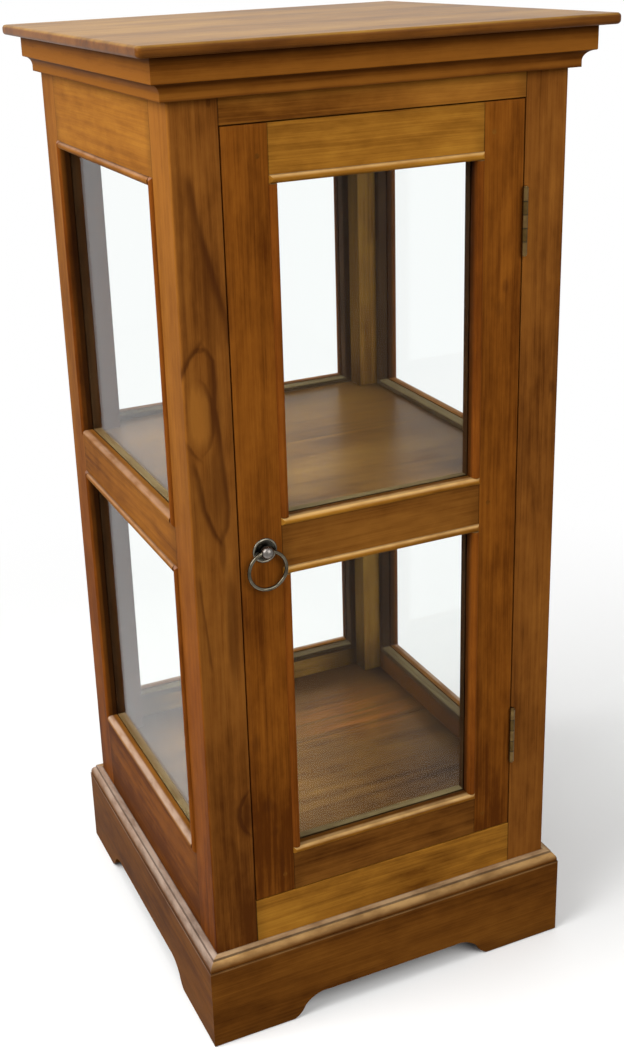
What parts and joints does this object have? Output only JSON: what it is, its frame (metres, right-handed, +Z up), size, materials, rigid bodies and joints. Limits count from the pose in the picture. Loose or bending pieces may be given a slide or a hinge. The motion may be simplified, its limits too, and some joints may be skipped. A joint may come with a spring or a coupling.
{
  "type": "display cabinet",
  "caption": "Small teak display cabinet with glazed sides and back, a glazed door on butt hinges, a ring pull, a moulded cornice and a bracket-foot plinth.",
  "frame": {"origin": "on the floor under the middle of the top board", "axes": "+Z up, the door faces -Y, +X to the right as seen from the front"},
  "size_m": [0.458, 0.436, 1],
  "materials": {
    "teak": "satin",
    "teak_beads": "satin",
    "teak_plinth": "satin",
    "teak_inside": "satin",
    "peg_wood": "satin",
    "clear_glass": "polished",
    "aged_brass": "aged",
    "dark_bronze": "aged",
    "steel": "satin",
    "catch_plastic": "matte"
  },
  "bodies": {
    "cabinet": {"front_left_post": "teak", "front_right_post": "teak", "back_left_post": "teak", "back_right_post": "teak", "front_top_rail": "teak", "front_bottom_rail": "teak", "left_top_rail": "teak", "left_mid_rail": "teak", "left_bottom_rail": "teak", "right_top_rail": "teak", "right_mid_rail": "teak", "right_bottom_rail": "teak", "back_top_rail": "teak", "back_mid_rail": "teak", "back_bottom_rail": "teak", "top_board": "teak", "cornice_front": "teak", "cornice_left": "teak", "cornice_right": "teak", "plinth_front": "teak_plinth", "plinth_left": "teak_plinth", "plinth_right": "teak_plinth", "plinth_back": "teak_plinth", "floor_board": "teak_inside", "shelf_board": "teak_inside", "board_cleats": "teak_inside", "left_upper_glass": "clear_glass", "left_lower_glass": "clear_glass", "right_upper_glass": "clear_glass", "right_lower_glass": "clear_glass", "back_upper_glass": "clear_glass", "back_lower_glass": "clear_glass", "left_outer_beads": "teak_beads", "right_outer_beads": "teak_beads", "back_outer_beads": "teak_beads", "left_inner_beads": "teak_inside", "right_inner_beads": "teak_inside", "back_inner_beads": "teak_inside", "hinge_frame_leaves": "aged_brass", "hinge_pins": "aged_brass", "frame_hinge_screws": "aged_brass", "case_screws": "steel", "catch_case": "catch_plastic"},
    "door": {"door_left_stile": "teak", "door_right_stile": "teak", "door_top_rail": "teak", "door_mid_rail": "teak", "door_bottom_rail": "teak", "door_upper_glass": "clear_glass", "door_lower_glass": "clear_glass", "door_outer_beads": "teak_beads", "door_inner_beads": "teak_inside", "door_pegs": "peg_wood", "hinge_door_leaves": "aged_brass", "door_hinge_screws": "aged_brass", "strike_plate": "steel", "handle_rosette": "dark_bronze", "handle_post": "dark_bronze", "handle_nut": "steel"},
    "ring": {"handle_ring": "dark_bronze"}
  },
  "joints": [
    {"name": "door_hinge", "type": "hinge", "parent": "cabinet", "child": "door", "pos_m": [0.1504, -0.18795, 0.541], "axis": [0, 0, 1], "range_deg": [0, 175]},
    {"name": "ring_swing", "type": "hinge", "parent": "door", "child": "ring", "pos_m": [-0.12515, -0.191, 0.539], "axis": [-1, 0, 0], "range_deg": [-2.5, 160]}
  ]
}
